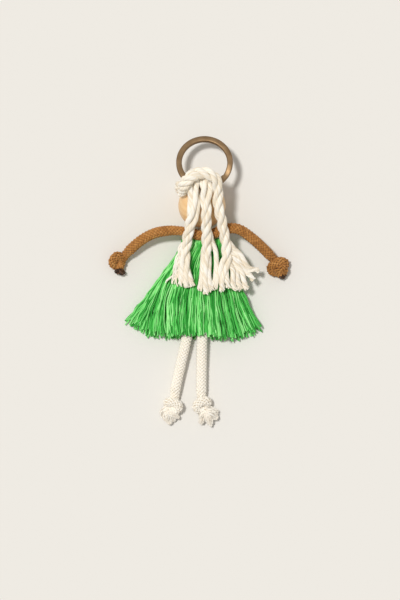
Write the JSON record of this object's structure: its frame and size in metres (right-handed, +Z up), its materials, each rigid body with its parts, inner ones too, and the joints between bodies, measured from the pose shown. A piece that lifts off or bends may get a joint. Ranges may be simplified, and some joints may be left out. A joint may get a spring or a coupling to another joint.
{
  "type": "macrame doll key ring charm",
  "caption": "Small macrame doll on a split ring: wooden bead head, twisted rope hair, fringe dress and knotted cord arms and legs, lying on its front.",
  "frame": {"origin": "middle of the bounding box, on the surface that the doll lies on", "axes": "the doll lies on its front: +Z up out of its back, +Y from the feet to the key ring, +X to its right hand as seen from above"},
  "size_m": [0.0973, 0.1536, 0.0361],
  "materials": {
    "ring_steel": "satin, antique",
    "bead_wood": "sanded, unpainted",
    "hair_cotton": "twisted cotton rope",
    "arm_cord": "knitted cotton cord",
    "leg_cord": "braided cotton cord",
    "dress_cotton": "combed cotton fringe"
  },
  "bodies": {
    "torso": {"hair_left_wrap": "hair_cotton", "hair_middle_wrap": "hair_cotton", "hair_right_wrap": "hair_cotton", "arm_middle": "arm_cord", "leg_fold": "leg_cord", "dress_cord": "dress_cotton", "dress_back_1": "dress_cotton", "dress_back_2": "dress_cotton", "dress_back_3": "dress_cotton", "dress_back_4": "dress_cotton", "dress_back_5": "dress_cotton", "dress_back_6": "dress_cotton", "dress_back_7": "dress_cotton", "dress_back_8": "dress_cotton", "dress_front_1": "dress_cotton", "dress_front_2": "dress_cotton", "dress_front_3": "dress_cotton", "dress_front_4": "dress_cotton", "dress_front_5": "dress_cotton", "dress_front_6": "dress_cotton", "dress_front_7": "dress_cotton", "dress_front_8": "dress_cotton"},
    "head": {"head_bead": "bead_wood"},
    "ring": {"split_ring": "ring_steel"},
    "hair_left": {"hair_left_tail": "hair_cotton"},
    "hair_middle": {"hair_middle_tail": "hair_cotton"},
    "hair_right": {"hair_right_tail": "hair_cotton"},
    "arm_left": {"arm_left": "arm_cord"},
    "arm_right": {"arm_right": "arm_cord"},
    "leg_left": {"leg_left": "leg_cord"},
    "leg_right": {"leg_right": "leg_cord"}
  },
  "joints": [
    {"name": "head_turn", "type": "hinge", "parent": "torso", "child": "head", "pos_m": [0.0012, 0.0401, 0.0125], "axis": [0, 1, 0], "continuous": true},
    {"name": "ring_swing", "type": "hinge", "parent": "torso", "child": "ring", "pos_m": [0.0026, 0.05005, 0.02277], "axis": [1, 0, 0], "range_deg": [0, 26]},
    {"name": "hair_left_lift", "type": "hinge", "parent": "torso", "child": "hair_left", "pos_m": [-0.00449, 0.03131, 0.02499], "axis": [-1, 0, 0], "range_deg": [0, 60]},
    {"name": "hair_middle_lift", "type": "hinge", "parent": "torso", "child": "hair_middle", "pos_m": [0.00351, 0.03127, 0.02564], "axis": [-1, 0, 0], "range_deg": [0, 60]},
    {"name": "hair_right_lift", "type": "hinge", "parent": "torso", "child": "hair_right", "pos_m": [0.01164, 0.03127, 0.02294], "axis": [-1, 0, 0], "range_deg": [0, 60]},
    {"name": "shoulder_left", "type": "hinge", "parent": "torso", "child": "arm_left", "pos_m": [-0.0067, 0.0261, 0.0152], "axis": [0, 0, -1], "range_deg": [-15, 45]},
    {"name": "shoulder_right", "type": "hinge", "parent": "torso", "child": "arm_right", "pos_m": [0.0118, 0.0271, 0.0152], "axis": [0, 0, 1], "range_deg": [-15, 45]},
    {"name": "hip_left", "type": "hinge", "parent": "torso", "child": "leg_left", "pos_m": [-0.0001, 0.0109, 0.0077], "axis": [0, 0, -1], "range_deg": [0, 9]},
    {"name": "hip_right", "type": "hinge", "parent": "torso", "child": "leg_right", "pos_m": [0.0056, 0.0109, 0.0077], "axis": [0, 0, 1], "range_deg": [0, 9]}
  ]
}
